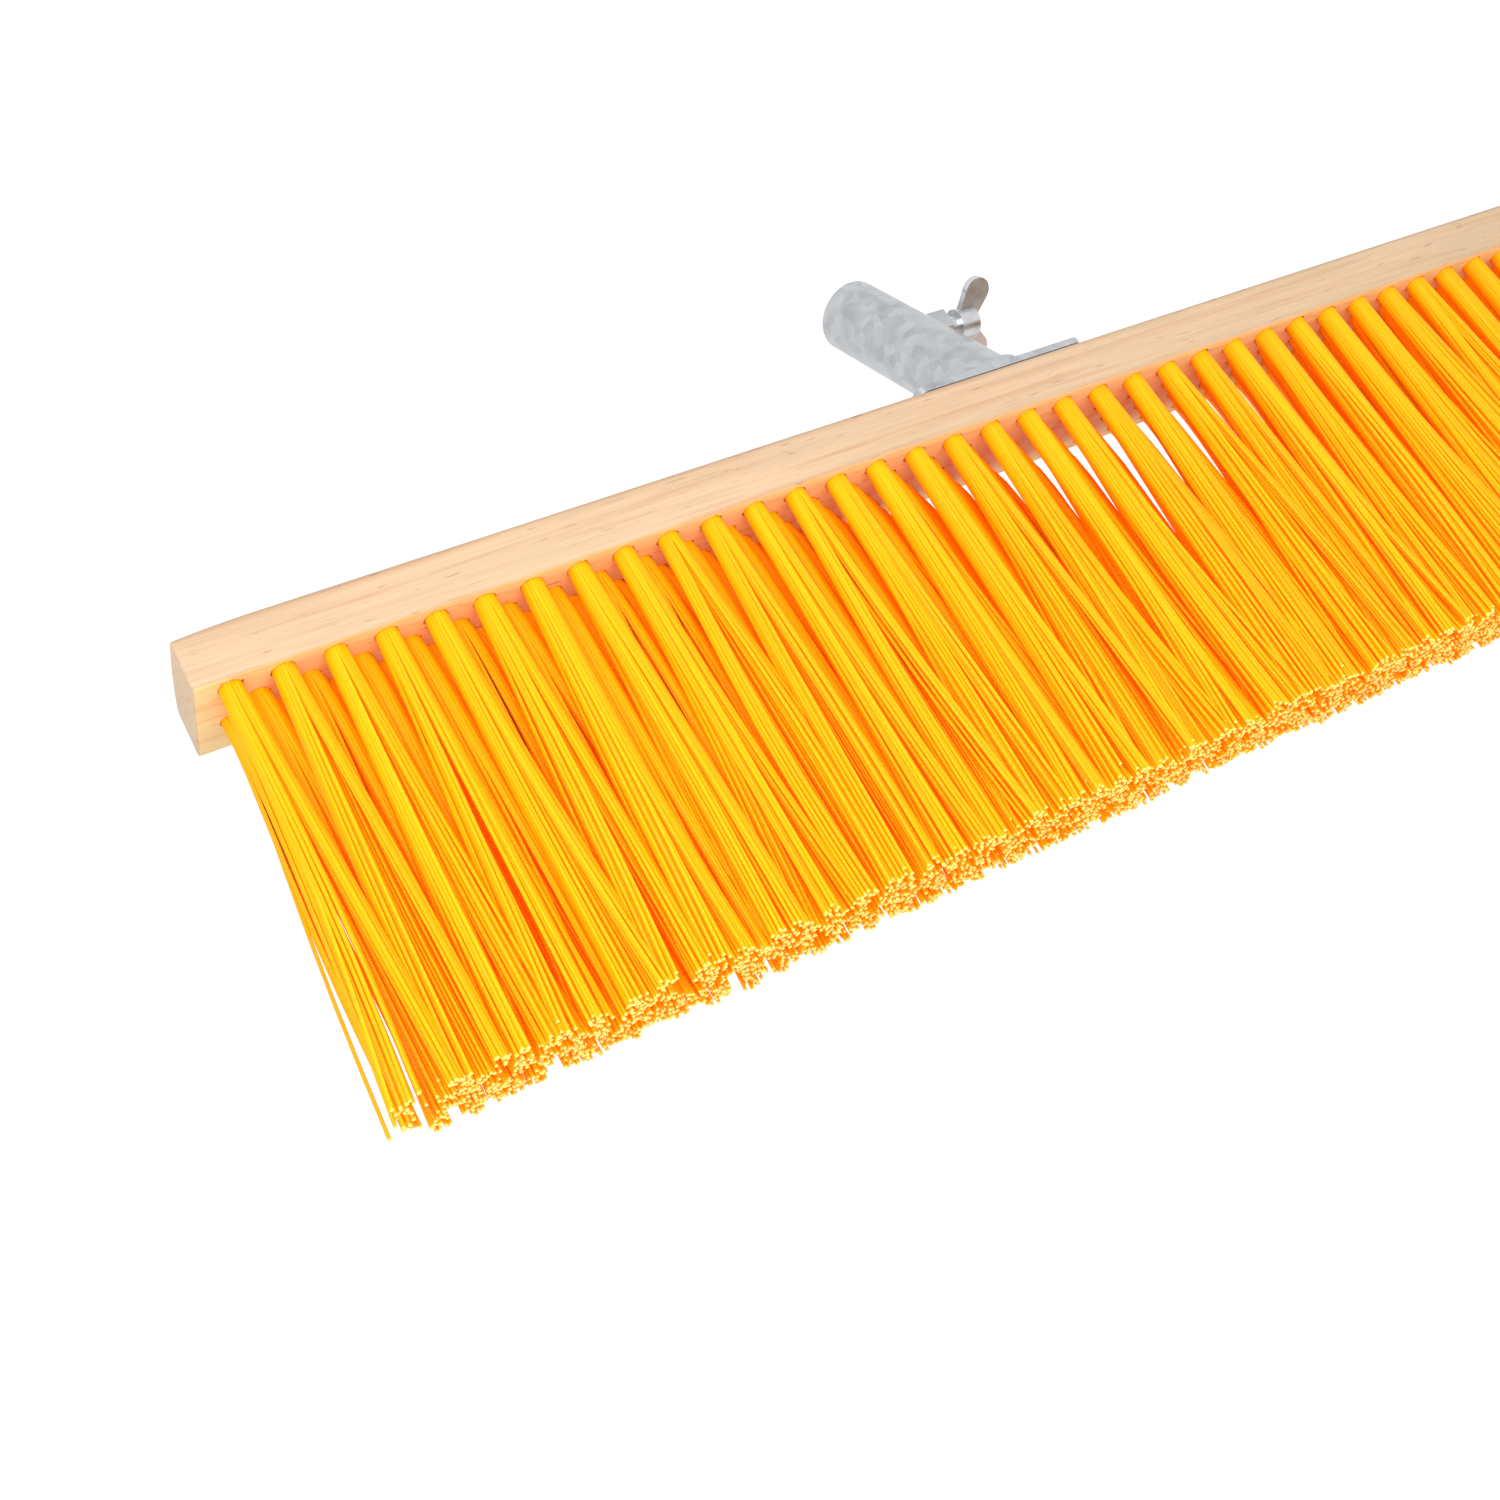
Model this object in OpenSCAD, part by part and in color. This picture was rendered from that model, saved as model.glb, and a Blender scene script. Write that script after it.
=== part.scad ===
// Push broom head: a wooden block with staggered rows of anchored bristle tufts,
// and a steel handle holder with a wing screw. Millimetres, +Z up. X runs along the block.
// The origin is on the handle socket's axis, where the end of a handle seats, over the middle of the block.

/* [Block] */
// Length of the wooden block
block_l = 600; // [450:5:750]
// Width of the block, front to back
block_w = 43; // [40:0.5:54]
// Height of the block at its crown
block_h = 20; // [18:0.5:26]
// Fall of the crowned top from the middle to the sides
crown_fall = 1.7; // [1:0.1:2.5]
// Radius of the long top edges
edge_r = 3; // [1.5:0.5:4]

/* [Bristles] */
// Rows of tufts across the block
rows = 4; // [4:1:4]
// Distance between tufts along a row
tuft_pitch = 16.05; // [13.4:0.05:20]
// Distance from the front or rear face to the nearest row
row_margin = 6.5; // [5.5:0.1:8]
// Least distance from the block's end to a tuft
end_margin = 11; // [8:0.5:16]
// Diameter of the drilled tuft holes
hole_d = 7.5; // [6:0.1:9]
// Depth of the tuft holes
hole_depth = 13; // [11:0.5:14]
// Clearance between a tuft and its hole, on the radius
tuft_gap = 0.3; // [0.2:0.05:0.5]
// Free length of the bristles below the block
bristle_l = 135.5; // [80:0.5:165]
// Gap left between neighbouring tufts at their tips
tip_gap = 0.6; // [0.4:0.1:2]

/* [Anchors] */
// Thickness of the flat anchor wire
anchor_t = 0.5; // [0.3:0.05:0.8]
// Height of the flat anchor wire
anchor_h = 2; // [1.5:0.1:3]
// How far each end of an anchor bites into the wood
anchor_bite = 0.6; // [0.3:0.1:0.8]
// Thickness of the bristle fold above an anchor
fold_t = 1.5; // [1:0.1:2.5]

/* [Handle holder] */
// Bore of the handle socket
socket_bore_d = 24.4; // [20:0.1:25.4]
// Wall of the socket tube
socket_wall = 1.6; // [1.2:0.1:2]
// Relief of the bore below the handle's seat, on the radius
foot_relief = 0.4; // [0.2:0.1:0.8]
// Length of the socket tube above the handle's seat
socket_l = 78; // [65:1:100]
// Angle of the socket above the floor
socket_angle = 60; // [55:1:70]
// Thickness of the base plate
plate_t = 2.5; // [2:0.25:3]
// Plate beyond the socket's foot at front and back
plate_lip = 0.8; // [0.4:0.1:1.5]
// Plate beyond the screws at each end
plate_end = 8; // [6:0.5:12]
// Corner radius of the base plate
plate_corner_r = 4; // [2:0.5:6]
// Height and width of the weld round the socket's foot
weld_size = 2; // [1:0.25:2.5]

/* [Holder screws] */
// Shank diameter of the wood screws
screw_d = 3.5; // [3:0.1:4.2]
// Length of the wood screws under the head
screw_l = 14; // [10:0.5:16]
// Diameter of the screw heads
screw_head_d = 7; // [6:0.1:8.5]
// Height of the screw heads
screw_head_h = 2.4; // [2:0.1:3]
// Least distance from the socket tube's side to a screw
screw_from_tube = 14; // [12:1:24]
// Clearance of the plate's screw holes, on the radius
screw_hole_gap = 0.3; // [0.15:0.05:0.5]
// Width of the cross recess's blades
recess_t = 0.9; // [0.6:0.1:1.2]

/* [Clamp] */
// Diameter of the clamp screw
clamp_d = 8; // [6.5:0.1:9.8]
// Clearance of the clamp screw and pad in their bore, on the radius
clamp_gap = 0.06; // [0.03:0.01:0.1]
// Distance of the clamp screw from the handle's seat, along the socket
clamp_along = 46; // [35:1:55]
// Travel of the clamp screw from open to fully in
clamp_travel = 5; // [3:0.5:7]
// Width across the flats of the weld nut
nut_flats = 14; // [13:0.5:18]
// Height of the weld nut above the tube
nut_h = 7; // [5:0.5:9]
// Thickness of the pressure pad
pad_t = 2; // [1.5:0.1:3]
// Span of the wings from tip to tip
wing_span = 34; // [28:1:42]
// Thickness of the wings
wing_t = 2.6; // [2:0.1:4]
// Diameter of the wing screw's hub
hub_d = 12; // [11.5:0.5:15]
// Height of the wing screw's hub
hub_h = 8; // [6:0.5:12]
// Rise of the wings' tips above the hub
wing_rise = 7; // [5:0.5:10]
// Radius of the wings' round tips
wing_tip_r = 5.5; // [4:0.5:6.5]
// Gap between the hub and the nut when the screw is fully in
hub_stop = 0.5; // [0.3:0.1:2]
// Gap between the open pad and the mouth of its bore
pad_rest = 0.05; // [0.02:0.01:0.2]

/* [Hidden] */
$fn = 64;
over = 1;                                    // how far cutters run past a face, and joined shapes into each other

// Tufts: odd rows have a tuft at each end, even rows sit half a pitch in
row_pitch = (block_w - 2 * row_margin) / (rows - 1);
tufts_long_row = floor((block_l - 2 * end_margin) / tuft_pitch) + 1;
function in_row(row) = tufts_long_row - (row + 1) % 2;
function row_y(row) = (row - (rows + 1) / 2) * row_pitch;
function tuft_x(row, i) = (i - (in_row(row) - 1) / 2) * tuft_pitch;
nearest_tuft = norm([tuft_pitch / 2, row_pitch]);
tip_r = (min(nearest_tuft, tuft_pitch) - tip_gap) / 2;
root_r = hole_d / 2 - tuft_gap;

// Heights, from the socket's seat down
socket_r = socket_bore_d / 2;
tube_r = socket_r + socket_wall;
plate_top = -socket_r * cos(socket_angle);
plate_bottom = plate_top - plate_t;
foot_y = plate_top / tan(socket_angle);      // where the socket's axis meets the plate
foot_half = tube_r / sin(socket_angle);
plate_w = 2 * (foot_half - foot_y + plate_lip);
crown_r = (pow(block_w / 2, 2) + pow(crown_fall, 2)) / (2 * crown_fall);
seat_depth = crown_r - sqrt(pow(crown_r, 2) - pow(plate_w / 2, 2));
block_top = plate_bottom + seat_depth;
block_bottom = block_top - block_h;
hole_top = block_bottom + hole_depth;
anchor_top = hole_top - fold_t;

// Holder screws stand midway between four tufts
screw_x = (ceil(2 * (tube_r + screw_from_tube) / tuft_pitch - 0.5) + 0.5) * tuft_pitch / 2;
screw_y = row_pitch;
plate_l = 2 * (screw_x + plate_end);
seat_gap = 1;                                // room round the plate in its flat

// Clamp, along +X from the socket's axis
clamp_bore_r = clamp_d / 2 + clamp_gap;
pad_x = socket_r + pad_rest;
screw_tip_x = pad_x + pad_t;
nut_end_x = tube_r + nut_h;
hub_x = nut_end_x + clamp_travel + hub_stop;
wing_top_x = hub_x + hub_h + wing_rise;
clamp_y = clamp_along * cos(socket_angle);
clamp_z = clamp_along * sin(socket_angle);

// A child that runs along +Z from the seat turns onto the socket's axis
module along_socket() {
    rotate([socket_angle - 90, 0, 0])
        children();
}

// A child that runs along +Z from the socket's axis turns onto the clamp's axis
module along_clamp() {
    translate([0, clamp_y, clamp_z])
        rotate([socket_angle, 0, 0])
            rotate([0, 90, 0])
                children();
}

// Section of the block, seen from its end: flat underside, crowned top, rounded top edges
module block_section() {
    corner_y = block_w / 2 - edge_r;
    corner_z = sqrt(pow(crown_r - edge_r, 2) - pow(corner_y, 2)) - crown_r;
    lean = asin(corner_y / (crown_r - edge_r));
    reach = 3 * edge_r;
    difference() {
        intersection() {
            translate([-block_w / 2, -block_h])
                square([block_w, block_h]);
            translate([0, -crown_r])
                circle(r = crown_r);
        }
        for (side = [0, 1])
            mirror([side, 0])
                translate([corner_y, corner_z])
                    difference() {
                        polygon([[0, 0], [reach * sin(lean), reach * cos(lean)], [reach, reach], [reach, 0]]);
                        circle(r = edge_r);
                    }
    }
}

module head_block() {
    color([0.96, 0.84, 0.68])
        difference() {
            translate([0, 0, block_top])
                rotate([90, 0, 90])
                    linear_extrude(height = block_l, center = true)
                        block_section();
            // flat that seats the holder's plate
            translate([-plate_l / 2 - seat_gap, -block_w / 2 - over, plate_bottom])
                cube([plate_l + 2 * seat_gap, block_w + 2 * over, seat_depth + over]);
            for (row = [1 : rows])
                for (i = [0 : in_row(row) - 1])
                    translate([tuft_x(row, i), row_y(row), block_bottom - over])
                        cylinder(r = hole_d / 2, h = hole_depth + over);
            holder_screw_places(plate_top - screw_l)
                cylinder(d = screw_d, h = screw_l);
        }
}

// One tuft, folded over its anchor: a round root in its hole and a spreading brush below
module tuft() {
    difference() {
        union() {
            translate([0, 0, block_bottom - over])
                cylinder(r = root_r, h = hole_depth + over);
            translate([0, 0, block_bottom - bristle_l])
                cylinder(r1 = tip_r, r2 = root_r, h = bristle_l);
        }
        translate([-anchor_t / 2, -hole_d, anchor_top - anchor_h])
            cube([anchor_t, 2 * hole_d, anchor_h]);
    }
}

// A third of one row of tufts: section 0 is left, 1 middle, 2 right
module tufts(row, section) {
    first = round(in_row(row) * section / 3);
    last = round(in_row(row) * (section + 1) / 3) - 1;
    color([1, 0.78, 0.08])
        for (i = [first : last])
            translate([tuft_x(row, i), row_y(row), 0])
                tuft();
}

// The flat wire anchors of one row, each across its hole with both ends in the wood
module anchors(row) {
    length = hole_d + 2 * anchor_bite;
    color([0.72, 0.73, 0.75])
        for (i = [0 : in_row(row) - 1])
            translate([tuft_x(row, i) - anchor_t / 2, row_y(row) - length / 2, anchor_top - anchor_h])
                cube([anchor_t, length, anchor_h]);
}

module holder_screw_places(z) {
    for (x = [-screw_x, screw_x])
        for (y = [-screw_y, screw_y])
            translate([x, y, z])
                children();
}

module holder_plate() {
    corner_x = plate_l / 2 - plate_corner_r;
    corner_y = plate_w / 2 - plate_corner_r;
    color([0.74, 0.76, 0.78])
        difference() {
            translate([0, 0, plate_bottom])
                union() {
                    translate([-plate_l / 2, -corner_y, 0])
                        cube([plate_l, 2 * corner_y, plate_t]);
                    translate([-corner_x, -plate_w / 2, 0])
                        cube([2 * corner_x, plate_w, plate_t]);
                    for (x = [-corner_x, corner_x])
                        for (y = [-corner_y, corner_y])
                            translate([x, y, 0])
                                cylinder(r = plate_corner_r, h = plate_t);
                }
            holder_screw_places(plate_bottom - over)
                cylinder(r = screw_d / 2 + screw_hole_gap, h = plate_t + 2 * over);
        }
}

// Everything above the plate's top face
module above_plate(height) {
    translate([-block_w, -block_w, plate_top])
        cube([2 * block_w, 3 * block_w, height]);
}

// Mitred tube welded to the plate, with the clamp's hole through its +X wall
module socket_tube() {
    foot_run = 2 * foot_half;
    color([0.74, 0.76, 0.78])
        difference() {
            union() {
                intersection() {
                    along_socket()
                        translate([0, 0, -foot_run])
                            cylinder(r = tube_r, h = foot_run + socket_l);
                    above_plate(2 * socket_l);
                }
                intersection() {
                    along_socket()
                        translate([0, 0, -foot_run])
                            cylinder(r = tube_r + weld_size, h = 2 * foot_run);
                    above_plate(weld_size);
                    translate([-block_w, -plate_w / 2, plate_top])
                        cube([2 * block_w, plate_w, weld_size]);
                }
            }
            along_socket()
                translate([0, 0, -over])
                    cylinder(r = socket_r, h = socket_l + 2 * over);
            along_socket()
                translate([0, 0, -foot_run])
                    cylinder(r = socket_r + foot_relief, h = foot_run);
            along_clamp()
                cylinder(r = clamp_bore_r, h = tube_r + over);
        }
}

module weld_nut() {
    color([0.66, 0.68, 0.7])
        difference() {
            along_clamp()
                translate([0, 0, socket_r])
                    cylinder(d = nut_flats / cos(30), h = nut_end_x - socket_r, $fn = 6);
            along_socket()
                cylinder(r = tube_r, h = socket_l);
            along_clamp()
                cylinder(r = clamp_bore_r, h = nut_end_x + over);
        }
}

module holder_screws() {
    color([0.8, 0.81, 0.82])
        holder_screw_places(plate_top)
            difference() {
                union() {
                    translate([0, 0, -screw_l])
                        cylinder(d = screw_d, h = screw_l + screw_head_h / 4);
                    screw_head();
                }
                for (turn = [0, 90])
                    rotate(turn)
                        translate([-screw_head_d / 4, -recess_t / 2, screw_head_h / 2])
                            cube([screw_head_d / 2, recess_t, screw_head_h]);
            }
}

// Domed head: the cap of a ball that is screw_head_h high
module screw_head() {
    ball_r = (pow(screw_head_d / 2, 2) + pow(screw_head_h, 2)) / (2 * screw_head_h);
    intersection() {
        translate([0, 0, screw_head_h - ball_r])
            sphere(r = ball_r);
        cylinder(d = screw_head_d, h = screw_head_h);
    }
}

module pressure_pad() {
    color([0.8, 0.64, 0.3])
        along_clamp()
            translate([0, 0, pad_x])
                cylinder(d = clamp_d, h = pad_t);
}

// Screw with a round hub and two thin wings that lean outwards
module wing_screw() {
    color([0.7, 0.71, 0.73])
        along_clamp() {
            translate([0, 0, screw_tip_x])
                cylinder(d = clamp_d, h = hub_x + over - screw_tip_x);
            translate([0, 0, hub_x])
                cylinder(d = hub_d, h = hub_h);
            for (side = [0, 180])
                rotate(side)
                    translate([0, wing_t / 2, 0])
                        rotate([90, 0, 0])
                            linear_extrude(height = wing_t)
                                wing_outline();
        }
}

// Outline of one wing: out from the hub and up, narrow at its root and round at its tip
module wing_outline() {
    root_share = 0.6;
    tip = [wing_span / 2 - wing_tip_r, wing_top_x - wing_tip_r];
    root = [hub_d / 4, hub_x + hub_h / 2];
    lean = atan2(tip[1] - root[1], tip[0] - root[0]);
    side = wing_tip_r * [sin(lean), -cos(lean)];
    translate(tip)
        circle(r = wing_tip_r);
    polygon([[0, hub_x + over], root + side * root_share, tip + side, tip - side, [0, hub_x + hub_h]]);
}

head_block();
tufts(1, 0);  // tufts_row_1_left
tufts(1, 1);  // tufts_row_1_middle
tufts(1, 2);  // tufts_row_1_right
tufts(2, 0);  // tufts_row_2_left
tufts(2, 1);  // tufts_row_2_middle
tufts(2, 2);  // tufts_row_2_right
tufts(3, 0);  // tufts_row_3_left
tufts(3, 1);  // tufts_row_3_middle
tufts(3, 2);  // tufts_row_3_right
tufts(4, 0);  // tufts_row_4_left
tufts(4, 1);  // tufts_row_4_middle
tufts(4, 2);  // tufts_row_4_right
anchors(1);  // anchors_row_1
anchors(2);  // anchors_row_2
anchors(3);  // anchors_row_3
anchors(4);  // anchors_row_4
holder_plate();
socket_tube();
weld_nut();
holder_screws();
pressure_pad();
wing_screw();
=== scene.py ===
import math

import bmesh
import bpy
import numpy as np
from mathutils import Matrix, Vector


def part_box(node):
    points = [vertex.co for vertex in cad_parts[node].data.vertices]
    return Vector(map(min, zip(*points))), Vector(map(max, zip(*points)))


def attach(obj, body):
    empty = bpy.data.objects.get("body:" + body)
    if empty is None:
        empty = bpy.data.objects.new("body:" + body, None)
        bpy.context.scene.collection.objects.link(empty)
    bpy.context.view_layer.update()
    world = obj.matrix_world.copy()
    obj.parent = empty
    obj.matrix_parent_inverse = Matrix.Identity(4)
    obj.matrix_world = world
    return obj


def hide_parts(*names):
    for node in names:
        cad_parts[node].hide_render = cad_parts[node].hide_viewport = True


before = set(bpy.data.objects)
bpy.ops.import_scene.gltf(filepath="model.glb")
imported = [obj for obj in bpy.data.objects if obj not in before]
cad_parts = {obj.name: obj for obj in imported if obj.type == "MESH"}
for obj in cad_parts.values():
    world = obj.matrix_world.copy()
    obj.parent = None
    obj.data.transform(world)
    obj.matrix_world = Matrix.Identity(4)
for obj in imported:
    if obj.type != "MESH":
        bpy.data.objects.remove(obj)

MM = 0.001

# ---------------------------------------------------------------- dimensions
BLOCK_LOW, BLOCK_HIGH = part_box("head_block")
PLATE_LOW, PLATE_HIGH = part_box("holder_plate")
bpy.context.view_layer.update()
UNDERSIDE = BLOCK_LOW.z
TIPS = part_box("tufts_row_1_left")[0].z
TUFT_NODES = [n for n in sorted(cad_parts) if n.startswith("tufts_row_")]


# ---------------------------------------------------------------- mesh helpers
def mesh_object(name, vertices, faces):
    """A new object from plain lists of points and faces."""
    mesh = bpy.data.meshes.new(name)
    mesh.from_pydata([tuple(v) for v in vertices], [], [tuple(f) for f in faces])
    mesh.update()
    return link_mesh(name, mesh)


def link_mesh(name, mesh):
    """A new object in the scene that shows a mesh."""
    obj = bpy.data.objects.new(name, mesh)
    bpy.context.scene.collection.objects.link(obj)
    return obj


def show(obj, body, material, nodes):
    """Puts a finished piece on its body, with its material and the CAD nodes it stands for."""
    obj.data.materials.clear()
    obj.data.materials.append(material)
    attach(obj, body)
    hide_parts(*nodes)


def apply_modifiers(obj):
    """Replaces an object's mesh by the result of its modifiers."""
    depsgraph = bpy.context.evaluated_depsgraph_get()
    mesh = bpy.data.meshes.new_from_object(obj.evaluated_get(depsgraph))
    obj.modifiers.clear()
    obj.data = mesh


# ---------------------------------------------------------------- material helpers
class Nodes:
    """Short calls for building one material's node tree."""

    MIX_A, MIX_B, MIX_RESULT = 6, 7, 2     # the colour sockets of a mix node

    def __init__(self, name):
        self.material = bpy.data.materials.new(name)
        self.material.use_nodes = True
        self.tree = self.material.node_tree
        self.shader = self.tree.nodes["Principled BSDF"]

    def new(self, kind, inputs=(), **settings):
        """A node, with its settings and with values or links on its inputs."""
        node = self.tree.nodes.new(kind)
        for key, value in settings.items():
            setattr(node, key, value)
        for key, value in dict(inputs).items():
            self.put(node.inputs[key], value)
        return node

    def put(self, socket, value):
        """Links a socket to another, or sets its value."""
        if isinstance(value, bpy.types.NodeSocket):
            self.tree.links.new(value, socket)
        else:
            socket.default_value = value

    def math(self, operation, a, b=0.0):
        return self.new("ShaderNodeMath", {0: a, 1: b}, operation=operation).outputs[0]

    def mix(self, factor, a, b, blend="MIX"):
        """One colour blended into another by a factor."""
        node = self.new("ShaderNodeMix", data_type="RGBA", blend_type=blend)
        self.put(node.inputs["Factor"], factor)
        self.put(node.inputs[self.MIX_A], a)
        self.put(node.inputs[self.MIX_B], b)
        return node.outputs[self.MIX_RESULT]

    def tint(self, factor, colour, tint):
        """A colour multiplied by a tint where the factor is 1."""
        return self.mix(factor, colour, self.mix(1.0, colour, tint, "MULTIPLY"))

    def ramp(self, value, stops):
        """A value passed through a curve of (place, level) stops."""
        node = self.new("ShaderNodeValToRGB", {"Fac": value})
        elements = node.color_ramp.elements
        while len(elements) < len(stops):
            elements.new(0.5)
        for element, (place, level) in zip(elements, stops):
            element.position = place
            element.color = (level, level, level, 1)
        return node.outputs["Color"]

    def noise(self, vector, scale, detail=2.0, roughness=0.5):
        inputs = {"Vector": vector, "Scale": scale, "Detail": detail, "Roughness": roughness}
        return self.new("ShaderNodeTexNoise", inputs).outputs["Fac"]

    def place(self, scale=(1, 1, 1), rotation=(0, 0, 0), location=(0, 0, 0)):
        """Object coordinates in millimetres, scaled and turned."""
        inputs = {
            "Vector": self.new("ShaderNodeTexCoord").outputs["Object"],
            "Scale": [s / MM for s in scale],
            "Rotation": rotation,
            "Location": location,
        }
        return self.new("ShaderNodeMapping", inputs).outputs["Vector"]

    def bump(self, height, strength, distance):
        inputs = {"Height": height, "Strength": strength, "Distance": distance}
        self.put(self.shader.inputs["Normal"], self.new("ShaderNodeBump", inputs).outputs["Normal"])

    def base(self, colour):
        self.put(self.shader.inputs["Base Color"], colour)


PINE_PALE = (0.435, 0.305, 0.185, 1)
PINE_WARM = (0.47, 0.325, 0.2, 1)
LATE_WOOD = (0.4, 0.215, 0.11, 1)
STREAK = (0.41, 0.215, 0.12, 1)
FLECK = (0.26, 0.11, 0.06, 1)
TOP_PAINTED_SHADE = (0.87, 0.85, 0.85, 1)          # painted shade: top faces darker and greyer than the sides
UNDER_PAINTED_LIGHT = (1.5, 1.65, 1.2, 1)          # painted light: the underside brightened and made less red than its bounce light leaves it
END_TINT = (1.08, 1.1, 1.08, 1)
PITH_Y, PITH_Z = 34.0, -74.0              # the log's centre, in millimetres from the frame's origin
RING_WIDTH = 4.1                          # millimetres
RING_DRIFT = 9.0                          # how far the rings wander along the block, in millimetres
GRAIN_TILT = (0, math.radians(1.1), math.radians(-0.8))


def wood_material():
    """Pale pine: growth rings about a far pith, fine fibres, streaks and resin flecks; painted shade on the
    top faces and painted light on the underside.
    """
    n = Nodes("pine")
    grain = n.place(rotation=GRAIN_TILT)
    drift = n.noise(n.place(scale=(0.006, 0.05, 0.05)), 1.0, 2.0)
    shift = n.math("MULTIPLY", n.math("SUBTRACT", drift, 0.5), RING_DRIFT)
    parts = n.new("ShaderNodeSeparateXYZ", {"Vector": grain})
    across = n.new("ShaderNodeCombineXYZ", {
        "Y": n.math("ADD", n.math("SUBTRACT", parts.outputs["Y"], PITH_Y), shift),
        "Z": n.math("ADD", n.math("SUBTRACT", parts.outputs["Z"], PITH_Z), shift),
    }).outputs["Vector"]
    radius = n.new("ShaderNodeVectorMath", {0: across}, operation="LENGTH").outputs["Value"]
    rings = n.math("FRACT", n.math("DIVIDE", radius, RING_WIDTH))
    late = n.ramp(rings, [(0.0, 0.15), (0.3, 0.0), (0.72, 0.45), (0.9, 1.0), (1.0, 0.15)])
    strength = n.noise(n.place(scale=(0.012, 0.2, 0.2)), 1.0, 3.0)
    late = n.math("MULTIPLY", late, n.ramp(strength, [(0.42, 0.0), (0.66, 1.0)]))
    fibre = n.noise(n.place(scale=(0.03, 1.6, 1.6)), 1.0, 4.0, 0.65)
    streak = n.noise(n.place(scale=(0.022, 0.7, 0.7), location=(3, 8, 5)), 1.0, 2.0)
    streak = n.ramp(streak, [(0.58, 0.0), (0.7, 1.0)])
    fleck = n.noise(n.place(scale=(0.1, 1.3, 1.3)), 1.0, 1.0)
    fleck = n.ramp(fleck, [(0.68, 0.0), (0.75, 1.0)])
    patch = n.noise(n.place(scale=(0.012, 0.09, 0.09)), 1.0, 2.0)
    colour = n.mix(n.ramp(patch, [(0.35, 0.0), (0.65, 1.0)]), PINE_PALE, PINE_WARM)
    colour = n.mix(n.math("MULTIPLY", late, 0.75), colour, LATE_WOOD)
    colour = n.mix(n.math("MULTIPLY", streak, 0.5), colour, STREAK)
    colour = n.mix(n.math("MULTIPLY", fleck, 0.7), colour, FLECK)
    tone = n.new("ShaderNodeMapRange", {"Value": fibre, "From Min": 0.3, "From Max": 0.7,
                                        "To Min": 0.91, "To Max": 1.07}).outputs["Result"]
    colour = n.mix(1.0, colour, tone, "MULTIPLY")
    normal = n.new("ShaderNodeNewGeometry").outputs["Normal"]
    facing = n.new("ShaderNodeSeparateXYZ", {"Vector": normal}).outputs
    # painted shade: a mask of the upward-facing faces, which are darkened and greyed
    top = n.ramp(facing["Z"], [(0.15, 0.0), (0.5, 1.0)])
    # painted light: a mask of the downward-facing faces, which are brightened and made less red
    under = n.ramp(n.math("MULTIPLY", facing["Z"], -1.0), [(0.8, 0.0), (0.97, 1.0)])
    end = n.math("GREATER_THAN", n.math("ABSOLUTE", facing["X"]), 0.8)
    for place, tint in ((top, TOP_PAINTED_SHADE), (under, UNDER_PAINTED_LIGHT), (end, END_TINT)):
        colour = n.tint(place, colour, tint)
    n.base(colour)
    n.put(n.shader.inputs["Roughness"], n.math("ADD", n.math("MULTIPLY", fibre, 0.25), 0.42))
    n.bump(n.math("ADD", fibre, n.math("MULTIPLY", late, 0.5)), 0.25, 0.15 * MM)
    return n.material


FILAMENT_DEEP = (0.99, 0.29, 0.0005, 1)
FILAMENT_BRIGHT = (0.99, 0.37, 0.001, 1)
CUT_FACE = (0.98, 0.75, 0.2, 1)
GLOW = (1.0, 0.36, 0.0, 1)
GLOW_STRENGTH = 0.085


def bristle_material():
    """Yellow drawn filament: each a little different, paler at its cut end."""
    n = Nodes("yellow_filament")
    shade = n.new("ShaderNodeAttribute", attribute_name="shade").outputs["Fac"]
    cut = n.new("ShaderNodeAttribute", attribute_name="cut").outputs["Fac"]
    mottle = n.noise(n.place(scale=(0.5, 0.5, 0.06)), 1.0, 2.0)
    blend = n.math("ADD", n.math("MULTIPLY", shade, 0.7), n.math("MULTIPLY", mottle, 0.3))
    colour = n.mix(blend, FILAMENT_DEEP, FILAMENT_BRIGHT)
    n.base(n.mix(cut, colour, CUT_FACE))
    n.put(n.shader.inputs["Roughness"], n.math("ADD", n.math("MULTIPLY", mottle, 0.2), 0.35))
    n.put(n.shader.inputs["IOR"], 1.5)
    n.put(n.shader.inputs["Specular IOR Level"], 0.12)
    # a faint glow stands in for the light that passes through the plastic into the gaps
    n.put(n.shader.inputs["Emission Color"], GLOW)
    n.put(n.shader.inputs["Emission Strength"], GLOW_STRENGTH)
    return n.material


def metal_material(name, colour, rough):
    """Plated metal: faint spangle, fine scratches and clouded gloss."""
    n = Nodes(name)
    spangle = n.new("ShaderNodeTexVoronoi", {"Vector": n.place(), "Scale": 0.22}).outputs["Color"]
    cloud = n.noise(n.place(), 0.12, 3.0)
    scratch = n.noise(n.place(scale=(6, 6, 0.25)), 1.0, 2.0, 0.7)
    grey = n.new("ShaderNodeRGBToBW", {"Color": spangle}).outputs["Val"]
    light = n.math("ADD", n.math("MULTIPLY", grey, 0.5), cloud)
    tone = n.new("ShaderNodeMapRange", {"Value": light, "To Min": 0.6, "To Max": 1.1}).outputs["Result"]
    n.base(n.mix(1.0, colour, tone, "MULTIPLY"))
    n.put(n.shader.inputs["Metallic"], 1.0)
    n.put(n.shader.inputs["Roughness"], n.math("ADD", n.math("MULTIPLY", cloud, 0.25), rough))
    n.bump(scratch, 0.12, 0.05 * MM)
    return n.material


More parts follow.
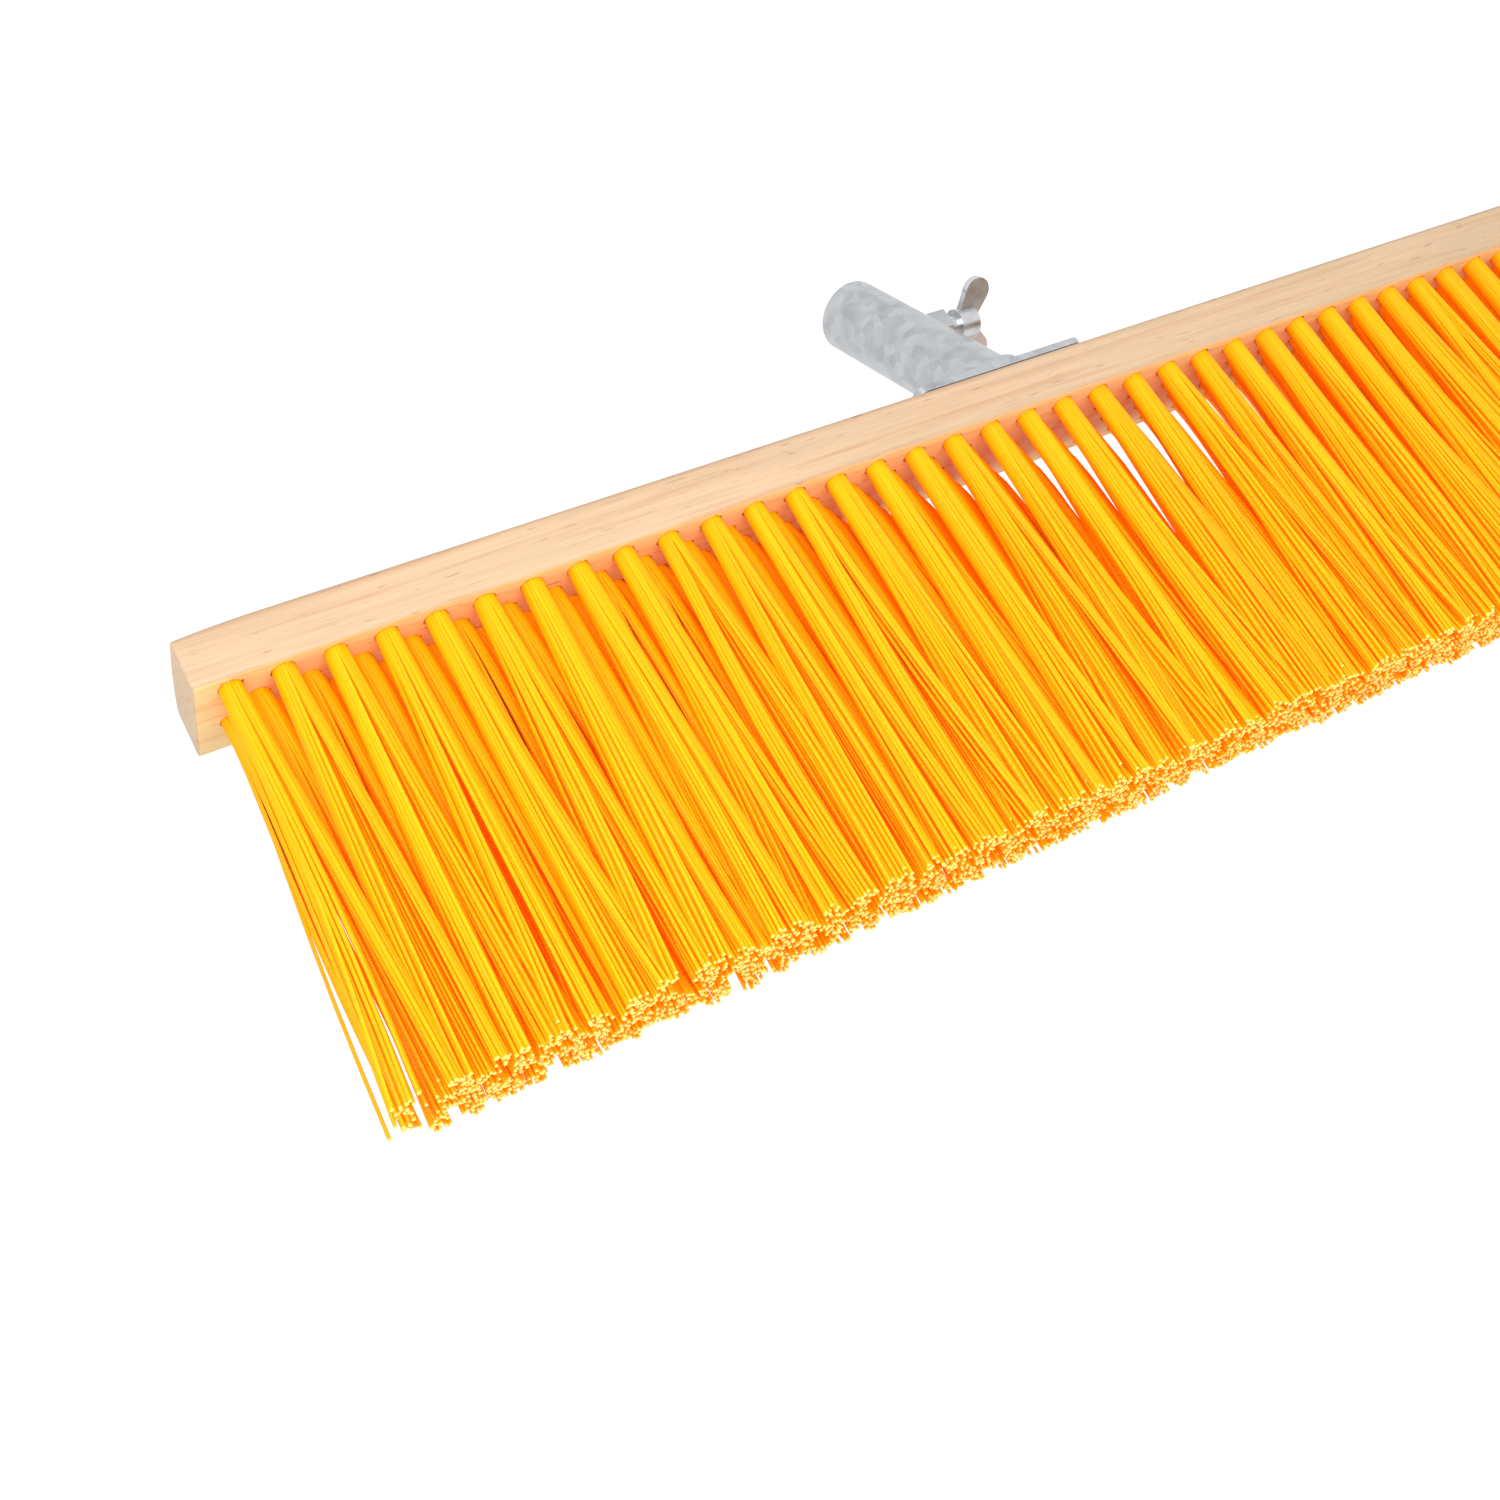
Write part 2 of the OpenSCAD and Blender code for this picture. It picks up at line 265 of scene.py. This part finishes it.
# ---------------------------------------------------------------- bristles
FILAMENT_RADIUS = 0.6 * MM
RADIUS_SPREAD = (0.95, 1.04)
RINGS_IN_HOLE = 3
RING_STEP = 1.04 * MM            # between the rings of filaments in a hole
SIDES = 6                        # of a filament's tube
CUT_LENGTH = 0.7 * MM            # of the paler end
ROOT_DEPTH = 4 * MM              # of a filament's start, above the block's underside
MOUTH_SHARE = 0.029              # of a filament's length, where it leaves the block
SHARES = np.array([0, MOUTH_SHARE, 0.05, 0.09, 0.16, 0.27, 0.4, 0.55, 0.7, 0.85, 1.0])
CLUMPS = 4
ROOT_SCATTER = 0.03 * MM
CLUMP_EDGE = 0.5 * MM            # how ragged the line between two clumps is
CLUMP_LEAN = np.array([1.9, 1.3]) * MM
TUFT_LEAN = np.array([1.6, 1.0]) * MM
FILAMENT_LEAN = np.array([0.45, 0.4]) * MM
LEAN_POWER = 1.25
CLUMP_SPREAD = np.array([2.1, 1.25])
FILAMENT_SPREAD = np.array([0.6, 0.45])
SPREAD_POWER = 1.15
CLUMP_BOW = 1.0 * MM
BOW_POWER = 0.3
FILAMENT_BOW = 0.2 * MM
STRAYS = 0.07                    # share of the filaments that leave their clump
END_STRAYS = 30                  # more of them for each metre of a tuft's splay along the head
STRAY_LEAN = np.array([4.5, 2.0]) * MM
STRAY_SPLAY = 1.2
STRAY_LIMIT = 1.5
SHORT_BY = (0.2, 1.0)            # millimetres, mean and spread
SHORT_FILAMENTS = 0.05           # share of the filaments that are cut shorter still
EXTRA_SHORT = (1, 5)             # millimetres
SPLAY = np.array([2.64, 2.2]) * MM
END_POWER = 25                   # keeps the splay along the head to its last tufts
FRONT_FLARE, FLARE_PER_ROW = 0.03, 0.06
FLARE_LENGTH = 0.04
ROW_SLANT = 1 * MM               # the rear rows are drilled a little aslant
SLANT_LENGTH = 0.06
ROOT_OUTWARD, OUTWARD_FALL, OUTWARD_POWER = 1.6, 1.1, 0.6
TUFT_SEED = 100
TIP_TOLERANCE = 0.1 * MM
TUFT_GAP = 2 * MM                # between two tufts' tips along X, at least


def tuft_centres(node):
    """The x, y of each tuft of a CAD node, read from the circles at its tips."""
    corners = np.array([v.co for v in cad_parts[node].data.vertices])
    tips = corners[corners[:, 2] < TIPS + TIP_TOLERANCE]
    tips = tips[np.argsort(tips[:, 0])]
    groups = np.split(tips, np.nonzero(np.diff(tips[:, 0]) > TUFT_GAP)[0] + 1)
    return [((g[0, 0] + g[-1, 0]) / 2, (g[:, 1].min() + g[:, 1].max()) / 2) for g in groups]


def packed_roots():
    """Centres of the filaments in one hole: one in the middle and three rings round it."""
    spots = [(0.0, 0.0)]
    for ring in range(1, RINGS_IN_HOLE + 1):
        places = 6 * ring
        for k in range(places):
            angle = k / places * math.tau
            spots.append((ring * RING_STEP * math.cos(angle), ring * RING_STEP * math.sin(angle)))
    return np.array(spots)


def scatter(rng, count, size):
    """Random offsets in x and y with a spread of the given size in each."""
    return rng.normal(0, 1, (count, 2)) * size


def clump_means(values, clump):
    """For each filament, the mean of the values over its clump."""
    return np.array([values[clump == c].mean(axis=0) for c in range(CLUMPS)])[clump]


def tuft_paths(rng, centre, roots, splay, row):
    """Points along every filament of one tuft, and which way each point faces out: (filaments, rings, 3)."""
    count = len(roots)
    turn = rng.uniform(0, math.tau)
    spin = np.array([[math.cos(turn), -math.sin(turn)], [math.sin(turn), math.cos(turn)]])
    local = roots @ spin + rng.normal(0, ROOT_SCATTER, (count, 2))
    # each half of the fold divides in two, and each clump keeps together and leans its own way
    clump = (local[:, 0] > 0) * 2 + (local[:, 1] + rng.normal(0, CLUMP_EDGE, count) > 0)
    hearts = clump_means(local, clump)
    lean = scatter(rng, CLUMPS, CLUMP_LEAN)
    tuft_lean = rng.normal(0, 1, 2) * TUFT_LEAN + splay
    stray = (rng.random(count) < STRAYS + END_STRAYS * abs(splay[0])).astype(float)[:, None]
    jitter = scatter(rng, count, FILAMENT_LEAN)
    jitter += np.clip(scatter(rng, count, 1), -STRAY_LIMIT, STRAY_LIMIT) * STRAY_LEAN * stray
    jitter[:, 0] += stray[:, 0] * splay[0] * STRAY_SPLAY
    spread = hearts * CLUMP_SPREAD + (local - hearts) * FILAMENT_SPREAD
    reach = lean[clump] + tuft_lean + jitter
    bow = scatter(rng, CLUMPS, CLUMP_BOW)[clump] + rng.normal(0, FILAMENT_BOW, (count, 2))
    start = UNDERSIDE + ROOT_DEPTH
    end = TIPS + np.abs(rng.normal(*SHORT_BY, count)) * MM
    end += (rng.random(count) < SHORT_FILAMENTS) * rng.uniform(*EXTRA_SHORT, count) * MM
    free = np.clip((SHARES - MOUTH_SHARE) / (1 - MOUTH_SHARE), 0, 1)
    # the front row keeps together; the rear ones open as soon as they leave the block
    flare = FRONT_FLARE + FLARE_PER_ROW * row
    open_out = flare * (1 - np.exp(-free / FLARE_LENGTH)) + (1 - flare) * free ** SPREAD_POWER
    open_out = open_out[None, :, None]
    drift = (free ** LEAN_POWER)[None, :, None]
    curve = (np.sin(np.pi * free) * free ** BOW_POWER)[None, :, None]
    xy = local[:, None] + spread[:, None] * open_out + reach[:, None] * drift + bow[:, None] * curve
    away = xy - xy.mean(axis=0)
    away /= np.abs(away).max(axis=(0, 2))[None, :, None]
    outward = away * (ROOT_OUTWARD - OUTWARD_FALL * free ** OUTWARD_POWER)[None, :, None]
    xy[..., 0] += row * ROW_SLANT * (1 - np.exp(-free / SLANT_LENGTH))
    level = np.zeros(xy.shape[:2] + (1,))
    paths = np.concatenate([xy + np.array(centre), level], axis=2)
    paths[..., 2] = start + (end - start)[:, None] * SHARES[None]
    return paths, np.concatenate([outward, level], axis=2)


def tube_quads(rings):
    """Corner numbers of the side faces of one tube."""
    ring, side = np.meshgrid(np.arange(rings - 1), np.arange(SIDES), indexing="ij")
    beside = (side + 1) % SIDES
    here, there = ring * SIDES, (ring + 1) * SIDES
    corners = (here + side, there + side, there + beside, here + beside)
    return np.stack(corners, axis=-1).reshape(-1, 4)


def tube_mesh(name, paths, radii, shades, outward):
    """One mesh of closed tubes, one along each path, with their cut ends marked.

    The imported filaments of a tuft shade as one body: their normals turn towards the tuft's own
    outward direction.
    """
    count, rings, _ = paths.shape
    cut_ring = paths[:, -1:].copy()
    along = paths[:, -1:] - paths[:, -2:-1]
    cut_ring -= along / np.linalg.norm(along, axis=2, keepdims=True) * CUT_LENGTH
    paths = np.concatenate([paths[:, :-1], cut_ring, paths[:, -1:]], axis=1)
    outward = np.concatenate([outward, outward[:, -1:]], axis=1)
    rings += 1
    angle = np.arange(SIDES) / SIDES * math.tau
    circle = np.stack([np.cos(angle), np.sin(angle), np.zeros(SIDES)], axis=1)
    points = paths[:, :, None] + circle[None, None] * radii[:, None, None, None]
    quads = tube_quads(rings)
    top = np.arange(SIDES)
    bottom = (rings - 1) * SIDES + np.arange(SIDES)[::-1]
    loops = np.concatenate([quads.ravel(), top, bottom])
    sizes = np.array([4] * len(quads) + [SIDES, SIDES])
    starts = np.concatenate([[0], np.cumsum(sizes)[:-1]])
    base = np.arange(count)[:, None] * rings * SIDES
    mesh = bpy.data.meshes.new(name)
    mesh.vertices.add(count * rings * SIDES)
    mesh.vertices.foreach_set("co", points.ravel().astype(np.float32))
    mesh.loops.add(count * len(loops))
    mesh.loops.foreach_set("vertex_index", (loops[None] + base).ravel().astype(np.int32))
    mesh.polygons.add(count * len(sizes))
    loop_starts = starts[None] + np.arange(count)[:, None] * len(loops)
    mesh.polygons.foreach_set("loop_start", loop_starts.ravel().astype(np.int32))
    mesh.update(calc_edges=True)
    mesh.validate()
    mesh.shade_smooth()
    normals = circle[None, None] + outward[:, :, None]
    normals /= np.linalg.norm(normals, axis=3, keepdims=True)
    ends = np.repeat([(0.0, 0.0, 1.0), (0.0, 0.0, -1.0)], SIDES, axis=0)
    sides = normals.reshape(count, rings * SIDES, 3)[:, quads.ravel()]
    corners = np.concatenate([sides, np.broadcast_to(ends, (count, 2 * SIDES, 3))], axis=1)
    mesh.normals_split_custom_set(corners.reshape(-1, 3).tolist())
    shade = np.repeat(shades, rings * SIDES)
    cut = np.tile(np.repeat(np.arange(rings) >= rings - 1, SIDES), count)
    for attribute, value in (("shade", shade), ("cut", cut)):
        layer = mesh.attributes.new(attribute, "FLOAT", "POINT")
        layer.data.foreach_set("value", value.astype(np.float32))
    return mesh


def bristles(material):
    """Every tuft's filaments, one piece for each third of a row."""
    roots = packed_roots()
    centres = {node: tuft_centres(node) for node in TUFT_NODES}
    end_tuft, half_width = np.abs(np.concatenate([centres[node] for node in TUFT_NODES])).max(axis=0)
    for number, node in enumerate(TUFT_NODES):
        rng = np.random.default_rng(TUFT_SEED + number)
        row = int(node.split("_")[2]) - 1
        tufts = []
        for centre in centres[node]:
            splay = SPLAY * np.array([(centre[0] / end_tuft) ** END_POWER, centre[1] / half_width])
            tufts.append(tuft_paths(rng, centre, roots, splay, row))
        paths, outward = (np.concatenate(part) for part in zip(*tufts))
        radii = FILAMENT_RADIUS * rng.uniform(*RADIUS_SPREAD, len(paths))
        shades = rng.random(len(paths))
        mesh = tube_mesh(node.replace("tufts", "bristles"), paths, radii, shades, outward)
        show(link_mesh(mesh.name, mesh), "broom_head", material, [node])


# ---------------------------------------------------------------- block
BLOCK_THICKNESS = 20 * MM
EDGE_RADIUS = 3 * MM             # long top edges
EDGE_STEPS = 6
LOWER_RADIUS = 0.7 * MM          # long lower edges and end edges
LOWER_STEPS = 3
CROWN_FALL = 1.7 * MM
CROWN_STEPS = 6
END_EASE = ((0, 1), (0.13, 0.5), (0.5, 0.13), (1, 0))     # (distance from the end, inset) in lower radii
STATIONS = (3, 6, 10, 15, 21, 28)                         # of the end's dropping top, in millimetres
END_DROP = 1.4 * MM
END_DROP_LENGTH = 26 * MM
SHARP_ANGLE = math.radians(32)
CUT_PAST = 1 * MM                # how far a cutter reaches past what it cuts
SEAT_HEIGHT = 5 * MM             # of the plate's cutter
HOLE_RADIUS = 3.75 * MM
HOLE_DEPTH = 13 * MM
HOLE_SIDES = 28
MOUTH_CLEARANCE = 0.1            # millimetres, all round a hole's mouth
TEAR = 0.3                       # millimetres, the usual depth of a torn bit
TORN_SHARE = 0.5
MOUTH_DEPTH = 0.15 * MM
TEAR_DEPTH = 0.9 * MM
HOLE_SEED = 7


def block_profile():
    """Outline of the block's section as (y, z), anticlockwise from the lower rear edge."""
    half = (BLOCK_HIGH.y - BLOCK_LOW.y) / 2
    top = UNDERSIDE + BLOCK_THICKNESS
    crown = (half ** 2 + CROWN_FALL ** 2) / (2 * CROWN_FALL)
    corner_y = half - EDGE_RADIUS
    corner_z = top - crown + math.sqrt((crown - EDGE_RADIUS) ** 2 - corner_y ** 2)
    lean = math.asin(corner_y / (crown - EDGE_RADIUS))
    right = []
    for k in range(LOWER_STEPS + 1):
        a = math.pi / 2 * (k / LOWER_STEPS - 1)
        right.append((half - LOWER_RADIUS + LOWER_RADIUS * math.cos(a),
                      UNDERSIDE + LOWER_RADIUS + LOWER_RADIUS * math.sin(a)))
    for k in range(EDGE_STEPS + 1):
        a = (math.pi / 2 - lean) * k / EDGE_STEPS
        right.append((corner_y + EDGE_RADIUS * math.cos(a), corner_z + EDGE_RADIUS * math.sin(a)))
    for k in range(1, CROWN_STEPS + 1):
        a = lean * (1 - k / CROWN_STEPS)
        right.append((crown * math.sin(a), top - crown + crown * math.cos(a)))
    return right + [(-y, z) for y, z in reversed(right[:-1])]


def block_shape():
    """The block without its holes: its section along X, with eased ends and a top that drops towards them."""
    profile = np.array(block_profile())
    middle_z = (profile[:, 1].min() + profile[:, 1].max()) / 2
    half_y, half_z = profile[:, 0].max(), profile[:, 1].max() - middle_z
    half_length = BLOCK_HIGH.x
    stations = [(half_length - back * LOWER_RADIUS, inset * LOWER_RADIUS) for back, inset in END_EASE]
    stations += [(half_length - back * MM, 0) for back in STATIONS]
    rings = []
    for x, inset in [(-x, i) for x, i in stations] + [(x, i) for x, i in reversed(stations)]:
        drop = END_DROP * max(0, 1 - (half_length - abs(x)) / END_DROP_LENGTH) ** 2
        ring = []
        for y, z in profile:
            y = y * (1 - inset / half_y)
            z = middle_z + (z - middle_z) * (1 - inset / half_z)
            height = (z - UNDERSIDE) / (2 * half_z)
            ring.append((x, y, z - drop * max(0, height) ** 3))
        rings.append(ring)
    n = len(profile)
    faces = [(a * n + k, a * n + (k + 1) % n, (a + 1) * n + (k + 1) % n, (a + 1) * n + k)
             for a in range(len(rings) - 1) for k in range(n)]
    faces.append(tuple(range(n))[::-1])
    faces.append(tuple((len(rings) - 1) * n + k for k in range(n)))
    return mesh_object("block", [v for ring in rings for v in ring], faces)


def hole_cutter(rng):
    """All the tuft holes as one mesh: clean bores with a torn, ragged mouth."""
    vertices, faces = [], []
    for node in TUFT_NODES:
        for cx, cy in tuft_centres(node):
            start = len(vertices)
            torn = np.abs(rng.normal(0, TEAR, HOLE_SIDES)) * (rng.random(HOLE_SIDES) < TORN_SHARE)
            mouth = HOLE_RADIUS + (MOUTH_CLEARANCE + torn) * MM
            bore = np.full(HOLE_SIDES, HOLE_RADIUS)
            levels = ((-CUT_PAST, mouth), (MOUTH_DEPTH, mouth), (TEAR_DEPTH, bore), (HOLE_DEPTH, bore))
            for height, radii in levels:
                for k, radius in enumerate(radii):
                    a = k / HOLE_SIDES * math.tau
                    place = (cx + radius * math.cos(a), cy + radius * math.sin(a), UNDERSIDE + height)
                    vertices.append(place)
            last = start + (len(levels) - 1) * HOLE_SIDES
            for low in range(start, last, HOLE_SIDES):
                for k in range(HOLE_SIDES):
                    j = (k + 1) % HOLE_SIDES
                    high = low + HOLE_SIDES
                    faces.append((low + k, low + j, high + j, high + k))
            faces.append(tuple(start + k for k in range(HOLE_SIDES))[::-1])
            faces.append(tuple(last + k for k in range(HOLE_SIDES)))
    return mesh_object("hole_cutter", vertices, faces)


def box_cutter(low, high):
    """A box between two corners, for the plate's seat."""
    bm = bmesh.new()
    bmesh.ops.create_cube(bm, size=1)
    size = Vector(high) - Vector(low)
    bmesh.ops.scale(bm, vec=size, verts=bm.verts)
    bmesh.ops.translate(bm, vec=(Vector(high) + Vector(low)) / 2, verts=bm.verts)
    mesh = bpy.data.meshes.new("seat_cutter")
    bm.to_mesh(mesh)
    bm.free()
    return link_mesh("seat_cutter", mesh)


def block(material):
    """The wooden block, with its tuft holes and the flat that the holder's plate sits on."""
    obj = block_shape()
    seat_low = (PLATE_LOW.x - CUT_PAST, BLOCK_LOW.y - CUT_PAST, PLATE_LOW.z)
    seat_high = (PLATE_HIGH.x + CUT_PAST, BLOCK_HIGH.y + CUT_PAST, PLATE_LOW.z + SEAT_HEIGHT)
    cutters = [hole_cutter(np.random.default_rng(HOLE_SEED)), box_cutter(seat_low, seat_high)]
    for cutter in cutters:
        modifier = obj.modifiers.new("cut", "BOOLEAN")
        modifier.operation = "DIFFERENCE"
        modifier.solver = "EXACT"
        modifier.object = cutter
    apply_modifiers(obj)
    for cutter in cutters:
        bpy.data.objects.remove(cutter)
    obj.data.shade_smooth()
    obj.data.set_sharp_from_angle(angle=SHARP_ANGLE)
    show(obj, "broom_head", material, ["head_block"])


# ---------------------------------------------------------------- scene
SENSOR_WIDTH = 36
LENS = 43.452
CAMERA_FROM_CORNER = Vector((-73.59, -467.72, -248.11)) * MM      # from the block's near lower corner
CAMERA_RIGHT = Vector((0.85203, -0.21810, -0.47590))
CAMERA_DOWN = Vector((-0.34328, 0.45359, -0.82245))
CAMERA_AHEAD = Vector((0.39524, 0.86411, 0.31160))
WORLD_STRENGTH = 1.15
LIGHT_BOUNCES = 24
DIFFUSE_BOUNCES = 20             # light passes between the filaments many times before it comes out
FLOOR_LEVEL = -0.46
FLOOR_REACH = 6
FLOOR_GREY = 0.93


def camera():
    """The camera at the photo's angle, fitted to the tuft roots and the block's end."""
    data = bpy.data.cameras.new("camera")
    data.sensor_width = SENSOR_WIDTH
    data.lens = LENS
    data.clip_start = 0.01
    obj = bpy.data.objects.new("camera", data)
    bpy.context.scene.collection.objects.link(obj)
    turn = Matrix((CAMERA_RIGHT, -CAMERA_DOWN, -CAMERA_AHEAD)).transposed().to_4x4()
    corner = Vector((BLOCK_LOW.x, BLOCK_LOW.y, UNDERSIDE))
    obj.matrix_world = Matrix.Translation(corner + CAMERA_FROM_CORNER) @ turn
    bpy.context.scene.camera = obj


def area_light(name, place, target, size, power):
    """A round soft light that points at a target and isn't seen itself."""
    data = bpy.data.lights.new(name, "AREA")
    data.shape = "DISK"
    data.size = size
    data.energy = power
    obj = bpy.data.objects.new(name, data)
    bpy.context.scene.collection.objects.link(obj)
    obj.visible_camera = False
    obj.location = place
    obj.rotation_euler = (Vector(target) - Vector(place)).to_track_quat("-Z", "Y").to_euler()


def floor():
    """The plain pale floor."""
    r = FLOOR_REACH
    corners = [(x, y, FLOOR_LEVEL) for x, y in ((-r, -r), (r, -r), (r, r), (-r, r))]
    obj = mesh_object("floor", corners, [(0, 1, 2, 3)])
    n = Nodes("pale_floor")
    n.base((FLOOR_GREY, FLOOR_GREY, FLOOR_GREY, 1))
    n.put(n.shader.inputs["Roughness"], 0.9)
    obj.data.materials.append(n.material)


def studio():
    """White surroundings and two large soft lights on the camera's side."""
    world = bpy.data.worlds.new("studio")
    world.use_nodes = True
    background = world.node_tree.nodes["Background"]
    background.inputs["Color"].default_value = (1, 1, 1, 1)
    background.inputs["Strength"].default_value = WORLD_STRENGTH
    scene = bpy.context.scene
    scene.world = world
    scene.view_settings.view_transform = "Standard"
    scene.cycles.max_bounces = LIGHT_BOUNCES
    scene.cycles.diffuse_bounces = DIFFUSE_BOUNCES
    floor()
    area_light("key", place=(-0.8, -1.2, -0.12), target=(-0.05, 0, -0.08), size=0.9, power=11.5)
    area_light("lower", place=(-0.3, -0.7, -0.43), target=(-0.05, 0, -0.03), size=0.6, power=5)


def holder():
    """Materials for the CAD pieces that are shown as they are."""
    zinc = metal_material("zinc_plate", (0.46, 0.475, 0.49, 1), 0.27)
    bright_zinc = metal_material("bright_zinc", (0.56, 0.57, 0.585, 1), 0.2)
    brass = metal_material("brass", (0.78, 0.58, 0.24, 1), 0.2)
    anchors = ["anchors_row_1", "anchors_row_2", "anchors_row_3", "anchors_row_4"]
    materials = dict.fromkeys(["holder_plate", "socket_tube", "weld_nut"] + anchors, zinc)
    materials.update(holder_screws=bright_zinc, wing_screw=bright_zinc, pressure_pad=brass)
    for name, material in materials.items():
        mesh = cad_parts[name].data
        mesh.materials.clear()
        mesh.materials.append(material)


camera()
studio()
block(wood_material())
bristles(bristle_material())
holder()
